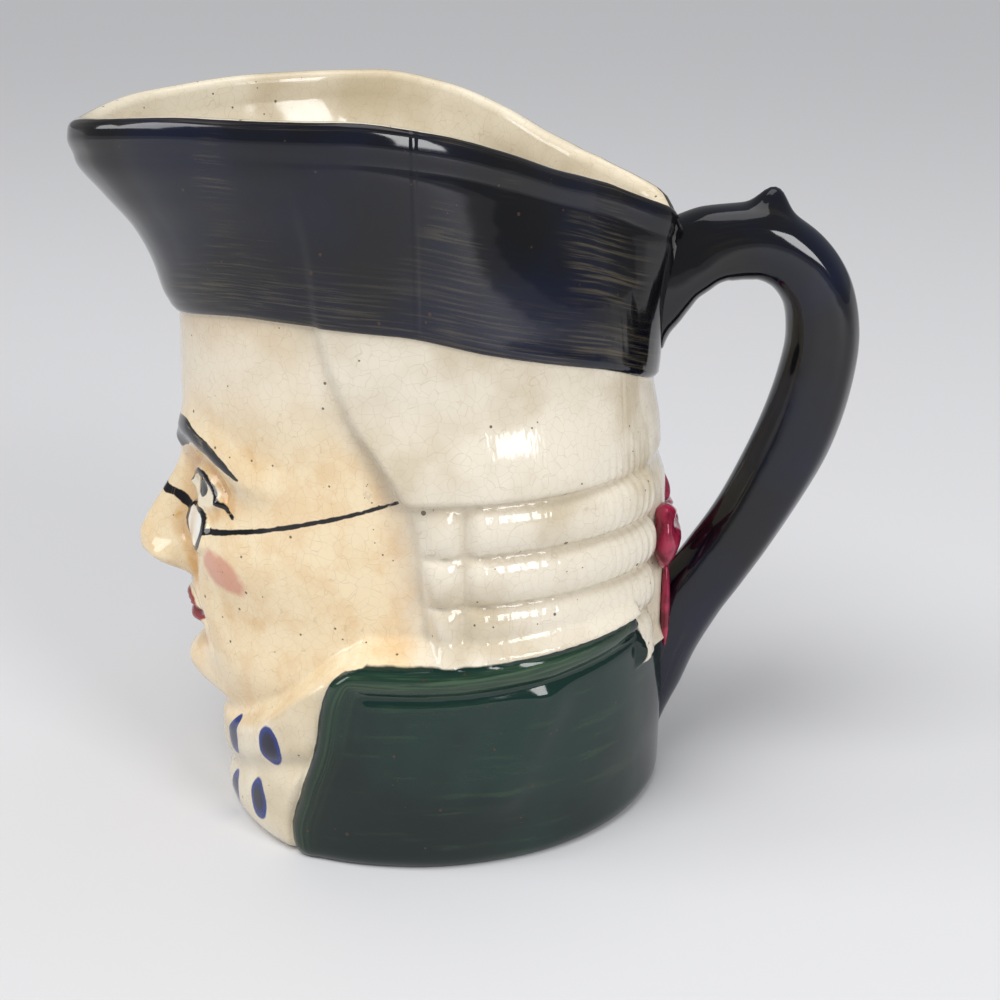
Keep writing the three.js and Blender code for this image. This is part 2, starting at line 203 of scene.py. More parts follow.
def plainRadius(turn, z):
    bust = curve["bust"](turn) + curve["bustFoot"](z)
    seam = np.where(turn < 72, curve["jawLine"](turn), curve["neckLine"](turn))
    return mix(bust, headRadius(turn, z), ease(z, seam - 1, seam + 3.5))


def faceShown(turn, z):
    seam = curve["jawLine"](turn)
    return ease(z, seam - 1, seam + 3.5) * (1 - ease(turn, 62, 76))


def faceCarving(turn, z, radius):
    x = radius * np.sin(np.radians(turn))
    lift = noseLift(z) * np.exp(-(np.abs(x / noseHalf(z)) ** 2.3))
    for at in faceMounds:
        lift = lift + mound(x, z, at)
    lift = lift + ridge(x, z, eyeSize["brow"], 3.1, 1.6)
    lift = lift + ridge(x, z, eyeSize["lid"], 1.0, 0.95)
    lift = lift + ridge(x, z, eyeSize["lidFold"], 0.8, -0.5)
    lift = lift + ridge(x, z, eyeSize["lowerLid"], 0.9, 0.55)
    lift = lift + ridge(x, z, mouthSize["fold"], 1.6, -1.3)
    lift = lift + ridge(x, z, mouthSize["line"], 0.75, -1.5)
    upper = np.minimum(lipTop(x) - z, z - 34.3)
    lower = np.minimum(34.2 - z, z - lipBottom(x))
    lift = lift + 1.5 * ease(upper, -0.7, 1.3) * (x < 11) + 1.9 * ease(lower, -0.7, 1.5) * (x < 11)
    lift = lift + glassesSize["raise"] * (1 - ease(eyeglass(x, z), 0.96, 1.2))
    return lift * faceShown(turn, z)


# Wig: smooth over the crown, rolled curls beside the neck and a queue down the back
curlSize = {
    "top": 64, "pitch": 8.7, "lift": 2.5, "start": 103.5, "end": 163, "knob": 96.5, "knobHalf": 2.8,
    "strand": 2.6, "strandLift": 0.11, "plain": 1.1, "puff": 2.5, "rearPuff": 0.6,
}
queueSize = {"half": 9, "top": 60, "lift": 1.4, "hair": 1.9, "hairLift": 0.16}


def wigCarving(turn, z, radius):
    size = curlSize
    shown = ease(turn - curve["wigFront"](z), -1, 2.5) * ease(-coatInside(turn, z, radius), -0.9, 0.4)
    overTop = z - size["top"]
    overRolls = ease(overTop, -0.6, 1.6) * (1 - ease(overTop, 3, 17))
    lift = size["plain"] + overRolls * mix(size["puff"], size["rearPuff"], ease(turn, 122, 156))
    row = -overTop / size["pitch"]
    across = 2 * (row - np.floor(row)) - 1
    rounded = np.clip(1 - np.abs(across) ** 2.4, 0, 1) ** 0.6 * (row > 0)
    roll = ease(turn - size["start"], -3, 2) * (1 - ease(turn - size["end"], -4, 1))
    arc = np.radians(turn - size["knob"]) * radius
    knob = np.exp(-(np.abs(arc / size["knobHalf"]) ** 3))
    inRolls = np.maximum(roll, 0.85 * knob)
    lift = lift + size["lift"] * rounded * inRolls
    strands = np.sin(np.radians(turn) * radius / size["strand"] * 2 * math.pi + 0.9 * np.sin(z / 2.1))
    lift = lift + size["strandLift"] * strands * roll * (1 - 0.9 * ease(overTop, 0, 9))
    fromMiddle = radius * np.sin(np.radians(turn))
    queue = queueSize
    inQueue = (turn > 90) * (1 - ease(fromMiddle, queue["half"] - 1, queue["half"] + 1))
    inQueue = inQueue * (1 - ease(z, queue["top"] - 2, queue["top"] + 4))
    hairs = queue["hairLift"] * np.sin(fromMiddle / queue["hair"] * 2 * math.pi + 0.5 * np.sin(z / 6))
    return shown * mix(lift, size["plain"] + queue["lift"] + hairs, inQueue)


# Neckcloth: two soft lobes with a sagging crease between them
clothSize = {"sag": 6.5, "spread": 4.6, "at": 22, "lift": 1.6, "pleat": 2.7, "pleatLift": 0.16}


def clothCarving(turn, z, radius):
    size = clothSize
    x = radius * np.sin(np.radians(turn))
    fold = size["sag"] + size["spread"] * (x / size["at"]) ** 2
    lobes = 1 - 0.85 * softBump(z, fold, 2.4) - 0.5 * ease(z, fold + 7, fold + 13) - 0.5 * (1 - ease(z, 0, 5))
    pleats = size["pleatLift"] * np.sin(x / size["pleat"] * math.pi + z * 0.25)
    return size["lift"] * lobes + pleats * softBump(z, fold + 3, 4) * (1 - ease(x, 16, 22))


# Coat: a turned-down collar with a rolled edge, and one soft fold in the side
coatSize = {"thick": 0.9, "roll": 1.0, "crease": 0.6, "fold": 1.3, "foldWide": 4.2,
            "foldLine": [(84, 29), (80, 22), (76, 14)], "foldScale": 0.69}


def coatInside(turn, z, radius):  # how far inside the coat's edges, in parts
    fromFront = np.radians(turn - curve["coatFront"](z)) * radius
    fromEnd = np.radians(wallSize["collarEnd"] - turn) * radius
    collar = np.minimum(curve["collarTop"](turn) - z, fromEnd)
    return np.minimum(fromFront, np.maximum(collar, wallSize["coatTop"] - z))


def coatEdge(turn, z, radius):  # the same, from the front edge and the collar's top alone
    fromFront = np.radians(turn - curve["coatFront"](z)) * radius
    return np.minimum(fromFront, curve["collarTop"](turn) - z)


def coatCarving(turn, z, radius):
    size = coatSize
    fromEdge = coatEdge(turn, z, radius)
    onCollar = 1 - ease(turn, wallSize["collarEnd"] - 3, wallSize["collarEnd"])
    roll = size["roll"] * softBump(fromEdge, 2.3, 2.0) * mix(0.5, 1, ease(z, 4, 20)) * mix(0.3, 1, onCollar)
    crease = size["crease"] * softBump(fromEdge, 5.6, 1.0) * ease(z, 16, 24) * onCollar
    fold = ridge(turn * size["foldScale"], z, size["foldLine"], size["foldWide"], size["fold"]) * (turn > 90)
    return ease(coatInside(turn, z, radius), -0.8, 0.9) * (size["thick"] + roll - crease + fold)


def bodyRadius(turn, z):
    radius = plainRadius(turn, z)
    jaw = curve["jawLine"](turn)
    belowJaw = 1 - ease(z, jaw - 2, jaw + 1)
    inCloth = (turn < 75) * belowJaw * (1 - ease(turn - curve["coatFront"](z), -2, 0))
    return (radius + faceCarving(turn, z, radius) + wigCarving(turn, z, radius)
            + coatCarving(turn, z, radius) + inCloth * clothCarving(turn, z, radius))


def hatPoint(turn, up):
    low = curve["hatLine"](turn)
    high = curve["rimLine"](turn) - wallSize["rimRound"]
    bottom = np.maximum(bodyRadius(turn, low) + wallSize["hatStep"], headRadius(turn, low) + 1.2)
    edge = curve["rim"](turn) + wallSize["rimThick"] / 2
    lip = wallSize["rimLip"] * (softBump(up, 0.95, 0.04) - 0.9 * softBump(up, 0.87, 0.035))
    roundedFoot = -0.5 * (1 - ease(up, 0, 0.03))
    return mix(bottom, edge, curve["hatFlare"](up)) + lip + roundedFoot, mix(low, high, up)


# Rows of the wall, from the middle of the underside, up the outside, over the rim and down inside
clayGrid = {
    "faceColumns": 88, "sideColumns": 62, "rearColumns": 30, "backColumns": 6,
    "under": [0, 0.5, 0.9, 1],
    "outside": sweep((1.1, 16, 15), (16, 70, 112), (70, 89.4, 26)),
    "hat": [0, 0.012, 0.03, 0.05] + sweep((0.075, 0.84, 32), (0.84, 1, 10)),
    "rim": 9, "insideHat": 18, "insideBody": 20, "floor": 3, "pooling": (7, 5),
}


def columnTurns():
    grid = clayGrid
    half = sweep((0, 62, grid["faceColumns"]), (62, 140, grid["sideColumns"]),
                 (140, 165, grid["rearColumns"]), (165, 180, grid["backColumns"]))
    return np.array([-turn for turn in reversed(half[1:])] + half)


def wallRows(side):
    size = wallSize
    flat = np.zeros_like(side)
    rows = []  # each one: radius, height, and how far it is over the hat's lower edge
    footRadius = curve["bust"](side) + curve["bustFoot"](flat) + coatCarving(side, flat, curve["bust"](side))
    ringInside = footRadius - size["footRing"]
    for share in clayGrid["under"]:
        rows.append((ringInside * share * 0.97, flat + size["footRecess"], flat - 30))
    rows.append((ringInside, flat + 0.15, flat - 30))
    rows.append((ringInside + 0.5, flat, flat - 30))
    rows.append((footRadius - 1.4, flat, flat - 30))
    rows.append((footRadius - 0.5, flat + 0.2, flat - 30))
    for height in clayGrid["outside"]:
        z = height / clayGrid["outside"][-1] * curve["hatLine"](side)
        softFoot = 0.3 * (1 - ease(z, 0, 1.6))
        rows.append((bodyRadius(side, z) - softFoot, z, z - curve["hatLine"](side) - 0.01))
    for up in clayGrid["hat"]:
        radius, z = hatPoint(side, up)
        rows.append((radius, z + 0.12 * (up == 0), z - curve["hatLine"](side) + 0.35))
    thick = size["rimThick"] / 2
    for i in range(1, clayGrid["rim"] + 1):
        angle = math.pi * i / clayGrid["rim"]
        z = curve["rimLine"](side) - size["rimRound"] * (1 - math.sin(angle))
        rows.append((curve["rim"](side) + thick * math.cos(angle), z, flat + 4 * (1.25 - angle)))
    for i in range(1, clayGrid["insideHat"] + 1):
        up = 0.96 - 0.82 * i / clayGrid["insideHat"]
        radius, z = hatPoint(side, up)
        fold = 0.7 * softBump(up, 0.36, 0.05)
        inner = np.where(up > 0.84, curve["rim"](side) + thick - mix(size["thick"], size["rimThick"], up),
                         radius - mix(size["thick"], size["rimThick"], up))
        rows.append((inner + fold, z, flat - 30))
    for i in range(clayGrid["insideBody"] + 1):
        z = mix(curve["hatLine"](side), size["floor"] + flat, (i / clayGrid["insideBody"]) ** 0.8)
        corner = size["floorCorner"]
        rounded = corner * (1 - np.sqrt(1 - (1 - np.clip((z - size["floor"]) / corner, 0, 1)) ** 2))
        rows.append((plainRadius(side, z) - size["thick"] - rounded, z, flat - 30))
    last = rows[-1][0]
    for i in range(1, clayGrid["floor"] + 1):
        rows.append((last * (1 - i / clayGrid["floor"]), flat + size["floor"], flat - 30))
    return [np.array(values) for values in zip(*rows)]


def sheetOfClay(name, columns, rows):  # a flat grid, one vertex for each column and row
    bpy.ops.object.select_all(action="DESELECT")
    bpy.ops.mesh.primitive_grid_add(x_subdivisions=columns - 1, y_subdivisions=rows - 1, size=2)
    sheet = bpy.context.object
    sheet.name = name
    sheet.data.name = name
    flat = np.zeros(len(sheet.data.vertices) * 3)
    sheet.data.vertices.foreach_get("co", flat)
    flat = flat.reshape(-1, 3)
    column = np.rint((flat[:, 0] + 1) / 2 * (columns - 1)).astype(int)
    row = np.rint((flat[:, 1] + 1) / 2 * (rows - 1)).astype(int)
    return sheet, row, column


def setPlaces(sheet, places):  # in parts, about the jug's upright axis
    places = places * part
    places[:, 1] += axisShift
    sheet.data.vertices.foreach_set("co", (places * mm).ravel())
    sheet.data.update()


def setPaint(sheet, name, values):
    layer = sheet.data.attributes.new(name, "FLOAT", "POINT")
    layer.data.foreach_set("value", np.ascontiguousarray(values, np.float32))


def closeUp(sheet):  # the rolled edges and the poles become one
    bpy.ops.object.select_all(action="DESELECT")
    sheet.select_set(True)
    bpy.context.view_layer.objects.active = sheet
    bpy.ops.object.mode_set(mode="EDIT")
    bpy.ops.mesh.select_all(action="SELECT")
    bpy.ops.mesh.remove_doubles(threshold=0.02 * mm)
    bpy.ops.mesh.normals_make_consistent(inside=False)
    bpy.ops.object.mode_set(mode="OBJECT")
    bpy.ops.object.shade_smooth()


def blurred(grid, rowReach, columnReach):  # average over a patch of the wall
    total = grid.copy()
    for _ in range(3):
        rowPad = np.pad(total, ((rowReach, rowReach), (0, 0)), mode="edge")
        sums = np.cumsum(np.vstack([np.zeros((1, total.shape[1])), rowPad]), axis=0)
        total = (sums[2 * rowReach + 1:] - sums[:-2 * rowReach - 1]) / (2 * rowReach + 1)
        wide = np.pad(total, ((0, 0), (columnReach, columnReach)), mode="wrap")
        sums = np.cumsum(np.hstack([np.zeros((total.shape[0], 1)), wide]), axis=1)
        total = (sums[:, 2 * columnReach + 1:] - sums[:, :-2 * columnReach - 1]) / (2 * columnReach + 1)
    return total


# Where the paint goes: each guide is a distance to an edge, below 0 inside, that the glaze reads
spotSize = [  # turn, height, half width and half height of each spot on the neckcloth
    (50.8, 19.9, 2.7, 3.8), (44.6, 7.9, 2.6, 3.9), (32, 16.4, 2.4, 3.5), (29, 4.8, 2.4, 3.5),
    (11, 11, 2.3, 3.3)]
cheekSize = {"turn": 33, "z": 47.6, "wide": 5.6, "tall": 3.4, "tilt": -0.35}
templeLine = [(24.6, 53.4), (48, 57.5), (70, 61.6), (85, 64.6)]  # turn and height
arcPerDegree = 0.7
strokeHalf = {  # half widths along each brush stroke
    "brow": ([0, 0.2, 0.5, 0.8, 1], [1.9, 2.7, 2.3, 1.4, 0.2]), "lid": ([0, 0.4, 1], [0.25, 0.55, 0.35]),
    "lidTail": ([0, 1], [0.5, 0.32]), "bridge": ([0, 1], [0.7, 0.7]),
    "temple": ([0, 0.2, 1], [0.5, 0.42, 0.3]),
}


def paintGuides(side, z, radius):
    x = radius * np.sin(np.radians(side))
    front = side < 80
    guides = {}
    ink = np.hypot(x - eyeSize["iris"][0], z - eyeSize["iris"][1]) - eyeSize["irisHalf"]
    glass = (eyeglass(x, z) - 1) * glassesSize["tall"]
    ink = np.minimum(ink, np.abs(glass) - glassesSize["line"])
    arcLine = [(turn * arcPerDegree, height) for turn, height in templeLine]
    strokes = (("brow", x, eyeSize["brow"]), ("lid", x, eyeSize["lid"]), ("lidTail", x, eyeSize["lidTail"]),
               ("bridge", x, glassesSize["bridge"]), ("temple", side * arcPerDegree, arcLine))
    for name, across, path in strokes:
        gap, along = strokeGap(across, z, path)
        ink = np.minimum(ink, gap - np.interp(along, *strokeHalf[name]))
    guides["ink"] = np.where(side < 100, ink, 9)
    guides["glass"] = np.where(front, glass + 0.2, 9)
    (middle, level), (half, tall) = eyeSize["white"], eyeSize["whiteHalf"]
    eye = np.hypot((x - middle) / half, (z - level) / tall) - 1
    guides["eyeWhite"] = np.where(front, eye * tall, 9)
    lips = np.minimum(lipTop(x) - z, z - lipBottom(x))
    guides["lips"] = np.where(front & (x < 10.7), -lips, 9)
    cheek = cheekSize
    across = (side - cheek["turn"]) * arcPerDegree
    upright = z - cheek["z"]
    turned = across * math.cos(cheek["tilt"]) + upright * math.sin(cheek["tilt"])
    lifted = upright * math.cos(cheek["tilt"]) - across * math.sin(cheek["tilt"])
    guides["cheek"] = np.hypot(turned / cheek["wide"], lifted / cheek["tall"])
    spots = np.full(side.shape, 9.0)
    for turn, height, half, tall in spotSize:
        gap = np.hypot((side - turn) * arcPerDegree / half, (z - height) / tall)
        spots = np.minimum(spots, (gap - 1) * half)
    guides["spots"] = spots
    guides["coat"] = coatInside(side, z, radius)
    guides["coatEdge"] = coatEdge(side, z, radius) + 9 * ease(side, 145, 151)
    guides["wig"] = np.radians(side - curve["wigFront"](z)) * radius
    guides["belowJaw"] = np.where(side < 75, curve["jawLine"](side) - z, -9)
    return guides


def makeJug():
    turns = columnTurns()
    side = np.abs(turns)
    radii, heights, overHat = wallRows(side)
    rowCount = len(radii)
    sheet, row, column = sheetOfClay("jugBody", len(turns), rowCount)
    radius = radii[row, column]
    z = heights[row, column]
    angle = np.radians(turns[column])
    setPlaces(sheet, np.column_stack([radius * np.sin(angle), -radius * np.cos(angle), z]))

    allSide = np.broadcast_to(side, radii.shape)
    firstOutside = len(clayGrid["under"])
    lastOutside = firstOutside + 4 + len(clayGrid["outside"])
    outside = np.zeros(rowCount, bool)
    outside[firstOutside:lastOutside] = True
    shown = np.broadcast_to(outside[:, None], radii.shape)
    guides = paintGuides(allSide, heights, radii)
    overSeam = heights - np.where(allSide < 72, curve["jawLine"](allSide), curve["neckLine"](allSide))
    hollow = np.where(shown, blurred(radii, *clayGrid["pooling"]) - radii, 0)
    hollow = hollow * mix(0.1, 1, ease(overSeam, 3, 13))
    setPaint(sheet, "hollow", hollow[row, column])
    setPaint(sheet, "hat", overHat[row, column])
    setPaint(sheet, "outside", shown[row, column].astype(float))
    for name, values in guides.items():
        limit = np.where(shown, values, -9 if name in ("coat", "wig", "belowJaw") else 9)
        setPaint(sheet, name, np.clip(limit, -40, 40)[row, column])
    closeUp(sheet)
    return sheet


jugBody = makeJug()
print("body thrown:", len(jugBody.data.polygons), "faces")


# Handle: a rounded bar along a loop, luted to the hat and to the collar
handleSize = {
    "wide": 13.5, "thick": 13.2, "rows": 300, "columns": 64, "square": 0.86,
    "swell": [[0, 1.85], [0.03, 1.8], [0.072, 1.56], [0.113, 1.22], [0.14, 1.07], [0.17, 0.99],
              [0.22, 0.92], [0.27, 0.95], [0.34, 1], [0.485, 1.07], [0.64, 0.99], [0.77, 1.01],
              [0.843, 0.93], [0.9, 0.8], [0.94, 0.66], [1, 0.42]],
    "innerSwell": [[0, 1.6], [0.02, 1.16], [0.04, 0.82], [0.06, 0.67], [0.08, 0.67], [0.1, 0.77],
                   [0.13, 0.89], [0.16, 0.95], [0.22, 0.95], [0.27, 0.95], [0.34, 1], [0.485, 1.07],
                   [0.64, 0.99], [0.77, 1.01], [0.843, 0.93], [0.9, 0.8], [0.94, 0.66], [1, 0.42]],
    "spread": [[0, 1.15], [0.15, 1], [0.45, 0.95], [0.7, 0.9], [0.85, 0.86], [1, 0.6]],
    "knob": (59.4, 106), "knobHalf": 2.7, "knobLift": 3.3, "top": 75.8, "ridge": 0.02, "flat": 0.07,
}


def handleLine(rows):
    top = handleSize["top"] - handleSize["thick"] / 2
    points = np.array([
        (38.4, 91.5), (42, 92.6), (46.5, 95.4), (50.6, 98.4), (top - 11.7, 99.8), (top - 5.9, 97.4),
        (top - 1.7, 91.9), (top, 83.8), (top - 1, 75.2), (top - 3.7, 65.8), (top - 7.6, 57.1),
        (56.8, 48.2), (52, 40.8), (47.6, 34.2), (43.9, 26.2), (42.1, 19.6), (40.8, 14.4), (40, 9), (39.3, 7)])
    ends = np.vstack([2 * points[0] - points[1], points, 2 * points[-1] - points[-2]])
    knots = np.cumsum(np.concatenate([[0], np.sqrt(np.hypot(*np.diff(ends, axis=0).T))]))
    dense = []
    for i in range(1, len(points)):
        p0, p1, p2, p3 = ends[i - 1:i + 3]
        t0, t1, t2, t3 = knots[i - 1:i + 3]
        t = np.linspace(t1, t2, 24, endpoint=False)[:, None]
        a1 = (t1 - t) / (t1 - t0) * p0 + (t - t0) / (t1 - t0) * p1
        a2 = (t2 - t) / (t2 - t1) * p1 + (t - t1) / (t2 - t1) * p2
        a3 = (t3 - t) / (t3 - t2) * p2 + (t - t2) / (t3 - t2) * p3
        b1 = (t2 - t) / (t2 - t0) * a1 + (t - t0) / (t2 - t0) * a2
        b2 = (t3 - t) / (t3 - t1) * a2 + (t - t1) / (t3 - t1) * a3
        dense.append((t2 - t) / (t2 - t1) * b1 + (t - t1) / (t2 - t1) * b2)
    dense = np.vstack(dense + [points[-1:]])
    length = np.concatenate([[0], np.cumsum(np.hypot(*np.diff(dense, axis=0).T))])
    at = np.linspace(0, length[-1], rows)
    line = np.column_stack([np.interp(at, length, dense[:, 0]), np.interp(at, length, dense[:, 1])])
    ahead = np.gradient(line, axis=0)
    return line, ahead / np.hypot(*ahead.T)[:, None]


def insideClay(x, z):  # y of a line inside the wall's thickness behind the head, where the handle stops
    up = np.linspace(0, 1, 60)
    hatOut, hatHeight = hatPoint(np.full(60, 180.0), up)
    low = np.linspace(0, hatHeight[0] - 0.5, 60)
    bodyOut = plainRadius(np.full(60, 180.0), low)
    out = np.interp(z, np.concatenate([low, hatHeight]), np.concatenate([bodyOut, hatOut]))
    return np.sqrt(np.clip((out - 2) ** 2 - x ** 2, 1, None))


def makeHandle():
    size = handleSize
    rows, columns = size["rows"], size["columns"]
    line, ahead = handleLine(rows)
    sheet, row, column = sheetOfClay("jugHandle", columns + 1, rows + 2)
    along = np.clip(row - 1, 0, rows - 1)
    share = along / (rows - 1)
    capped = (row > 0) & (row < rows + 1)
    angle = column / columns * 2 * math.pi
    s, c = np.sin(angle), np.cos(angle)  # cos is 1 on the inner face, towards the fingers
    across = np.sign(s) * np.abs(s) ** size["square"] * size["wide"] / 2 * through(size["spread"])(share)
    swell = np.where(c > 0, through(size["innerSwell"])(share), through(size["swell"])(share))
    deep = np.sign(c) * np.abs(c) ** size["square"] * size["thick"] / 2 * swell
    middleRun = ease(share, 0.14, 0.3) * (1 - ease(share, 0.8, 0.95))
    ridges = 1 - size["ridge"] * middleRun * (1 - np.cos(angle * 6))
    innerFlat = 1 - size["flat"] * middleRun * np.clip(c, 0, 1) ** 4
    inward = np.column_stack([ahead[along, 1], -ahead[along, 0]])
    y = line[along, 0] + inward[:, 0] * deep * ridges * innerFlat * capped
    z = line[along, 1] + inward[:, 1] * deep * ridges * innerFlat * capped
    x = across * ridges * capped
    gap = np.sqrt((x / 0.9) ** 2 + (y - size["knob"][0]) ** 2 + ((z - size["knob"][1]) / 2) ** 2)
    lift = size["knobLift"] * np.exp(-((gap / size["knobHalf"]) ** 2.1))
    y -= inward[:, 0] * lift * (z > 100)
    z -= inward[:, 1] * lift * (z > 100)
    y = np.maximum(y, insideClay(x, z))
    setPlaces(sheet, np.column_stack([x, y, z]))
    setPaint(sheet, "around", angle * 6.5)
    closeUp(sheet)
    return sheet


jugHandle = makeHandle()
print("handle pulled:", len(jugHandle.data.polygons), "faces")


# Bow: two pleated loops, a knot and two tails, tied round the queue of hair
bowSize = {
    "knot": (0, 43.2, 49, 2.6, 2.4, 3), "loop": (7.4, 42.2, 49.8, 6.8, 2.5, 6.6), "loopTilt": 0.34,
    "tail": (6.2, 43, 35.6, 2, 0.9, 8.2), "tailTilt": -0.16, "pleats": 9, "pleatDepth": 0.24,
}


def ribbonLump(name, size, tilt, hand, pleats):
    bpy.ops.object.select_all(action="DESELECT")
    bpy.ops.mesh.primitive_uv_sphere_add(segments=64, ring_count=40, radius=1)
    lump = bpy.context.object
    lump.name = name
    places = np.zeros(len(lump.data.vertices) * 3)
    lump.data.vertices.foreach_get("co", places)
    places = places.reshape(-1, 3)
    x, y, z, wide, deep, tall = size
    fan = np.arctan2(places[:, 2], places[:, 0] + 1.05)
    fold = 1 + pleats * np.cos(fan * bowSize["pleats"]) * np.clip(1.1 - np.abs(places[:, 0]) * 0.4, 0, 1)
    pinch = np.clip(0.42 + 0.62 * (places[:, 0] + 1) / 1.2, 0.42, 1) if pleats else 1
    shaped = np.column_stack([places[:, 0] * wide, places[:, 1] * deep * fold, places[:, 2] * tall * pinch])
    turned = np.column_stack([
        shaped[:, 0] * math.cos(tilt) + shaped[:, 2] * math.sin(tilt), shaped[:, 1],
        shaped[:, 2] * math.cos(tilt) - shaped[:, 0] * math.sin(tilt)])
    turned[:, 0] *= hand
    setPlaces(lump, turned + np.array([hand * x, y, z]))
    closeUp(lump)
    return lump


def makeBow():
    size = bowSize
    lumps = [ribbonLump("bowKnot", size["knot"], 0, 1, 0)]
    for hand in (1, -1):
        lumps.append(ribbonLump("bowLoop", size["loop"], size["loopTilt"], hand, size["pleatDepth"]))
        lumps.append(ribbonLump("bowTail", size["tail"], size["tailTilt"], hand, 0))
    bpy.ops.object.select_all(action="DESELECT")
    for lump in lumps:
        lump.select_set(True)
    bpy.context.view_layer.objects.active = lumps[0]
    bpy.ops.object.join()
    bow = bpy.context.object
    bow.name = "jugBow"
    bow.data.name = "jugBow"
    return bow


jugBow = makeBow()
print("bow tied:", len(jugBow.data.polygons), "faces")


# Finishes
def painted(red, green, blue):  # a colour as the eye reads it, 0 to 255, as Blender holds it
    return tuple((v / 255 / 12.92) if v < 10 else ((v / 255 + 0.055) / 1.055) ** 2.4
                 for v in (red, green, blue)) + (1,)


glazeColour = {
    "cream": painted(226, 216, 194), "creamShade": painted(202, 187, 158), "crazing": painted(150, 120, 84),
    "wig": painted(223, 214, 197), "wigShade": painted(197, 184, 159),
    "flesh": painted(232, 213, 178), "wash": painted(206, 158, 92), "washDeep": painted(160, 100, 44),
    "pink": painted(204, 132, 114), "lips": painted(134, 28, 48), "ink": painted(18, 17, 20),
    "glass": painted(232, 230, 222), "eyeWhite": painted(228, 216, 190),
    "black": painted(12, 12, 15), "navy": painted(13, 18, 38), "streak": painted(92, 84, 66),
    # olive is the paler green of the coat's brush streaks and of its painted edge highlight
    "green": painted(11, 41, 35), "greenDeep": painted(5, 23, 21), "olive": painted(66, 92, 62),
    "blue": painted(14, 44, 122), "blueDeep": painted(7, 10, 42),
    "crimson": painted(158, 38, 70), "crimsonDeep": painted(108, 14, 40), "speck": painted(66, 46, 34),
}


def startMaterial(name, roughness):
    material = bpy.data.materials.new(name)
    material.use_nodes = True
    tree = material.node_tree
    shader = tree.nodes["Principled BSDF"]
    shader.inputs["Roughness"].default_value = roughness
    shader.inputs["IOR"].default_value = 1.5
    return material, tree, shader


def addNode(tree, kind, inputs, **settings):
    made = tree.nodes.new(kind)
    for name, value in settings.items():
        setattr(made, name, value)
    for key, value in inputs.items():
        if isinstance(value, bpy.types.NodeSocket):
            tree.links.new(value, made.inputs[key])
        else:
            made.inputs[key].default_value = value
    return made


def calc(tree, operation, first, second=0.0):
    return addNode(tree, "ShaderNodeMath", {0: first, 1: second}, operation=operation).outputs[0]


def times(tree, first, second):
    return calc(tree, "MULTIPLY", first, second)


def plus(tree, first, second):
    return calc(tree, "ADD", first, second)


def minus(tree, first, second):
    return calc(tree, "SUBTRACT", first, second)


def band(tree, value, low, high):  # 0 at low, 1 at high
    inputs = {"Value": value, "From Min": low, "From Max": high}
    return addNode(tree, "ShaderNodeMapRange", inputs, interpolation_type="SMOOTHSTEP").outputs[0]


def blend(tree, share, first, second):
    made = addNode(tree, "ShaderNodeMix", {0: share, 6: first, 7: second}, data_type="RGBA")
    return made.outputs[2]


def guide(tree, name):
    return addNode(tree, "ShaderNodeAttribute", {}, attribute_name=name).outputs["Fac"]


def objectPlace(tree):
    return addNode(tree, "ShaderNodeTexCoord", {}).outputs["Object"]


def placeAlong(tree, axis):
    return addNode(tree, "ShaderNodeSeparateXYZ", {0: objectPlace(tree)}).outputs["XYZ".index(axis)]


def grain(tree, scale, detail=3.0, stretch=None, rough=0.55):
    where = objectPlace(tree)
    if stretch:
        where = addNode(tree, "ShaderNodeMapping", {"Vector": where, "Scale": stretch}).outputs[0]
    inputs = {"Vector": where, "Scale": scale, "Detail": detail, "Roughness": rough}
    return addNode(tree, "ShaderNodeTexNoise", inputs).outputs[0]


def streaks(tree, across, fine):  # brush marks that run round the jug, level with one of its edges
    perMetre = 62.0
    turned = addNode(tree, "ShaderNodeCombineXYZ", {
        0: times(tree, placeAlong(tree, "X"), perMetre), 1: times(tree, placeAlong(tree, "Y"), perMetre),
        2: times(tree, across, fine)})
    inputs = {"Vector": turned.outputs[0], "Scale": 1.0, "Detail": 4.0, "Roughness": 0.62}
    return addNode(tree, "ShaderNodeTexNoise", inputs).outputs[0]


def crazed(tree, size, line):  # 1 on the hair lines of a crazed glaze
    wander = addNode(tree, "ShaderNodeTexNoise", {"Vector": objectPlace(tree), "Scale": 160.0, "Detail": 2.0})
    shifted = addNode(tree, "ShaderNodeMix", {0: 0.0035, 4: objectPlace(tree), 5: wander.outputs["Color"]},
                      data_type="VECTOR").outputs[1]
    cells = addNode(tree, "ShaderNodeTexVoronoi", {"Vector": shifted, "Scale": 1 / (size * mm)},
                    feature="DISTANCE_TO_EDGE")
    return minus(tree, 1.0, band(tree, cells.outputs[0], line * 0.3, line))


def specked(tree, size, dot):  # 1 on small pinholes in the glaze
    cells = addNode(tree, "ShaderNodeTexVoronoi", {"Vector": objectPlace(tree), "Scale": 1 / (size * mm)})
    chance = addNode(tree, "ShaderNodeSeparateColor", {0: cells.outputs["Color"]}).outputs[0]
    limit = times(tree, calc(tree, "POWER", chance, 3.0), dot)
    return calc(tree, "LESS_THAN", cells.outputs["Distance"], limit)


def blackPaint(tree, across, share):  # share is how far the brush marks show
    colour = glazeColour
    cloudy = band(tree, grain(tree, 28.0), 0.42, 0.66)
    base = blend(tree, cloudy, colour["black"], colour["navy"])
    thin = band(tree, streaks(tree, across, 1.9), 0.47, 0.72)
    patchy = band(tree, grain(tree, 34.0, 2.0), 0.5, 0.66)
    palerShare = times(tree, times(tree, thin, patchy), share)
    return blend(tree, palerShare, base, colour["streak"])


def reliefOf(tree, height, depth, shader):
    bump = addNode(tree, "ShaderNodeBump", {"Height": height, "Strength": 1.0, "Distance": depth * mm})
    tree.links.new(bump.outputs[0], shader.inputs["Normal"])


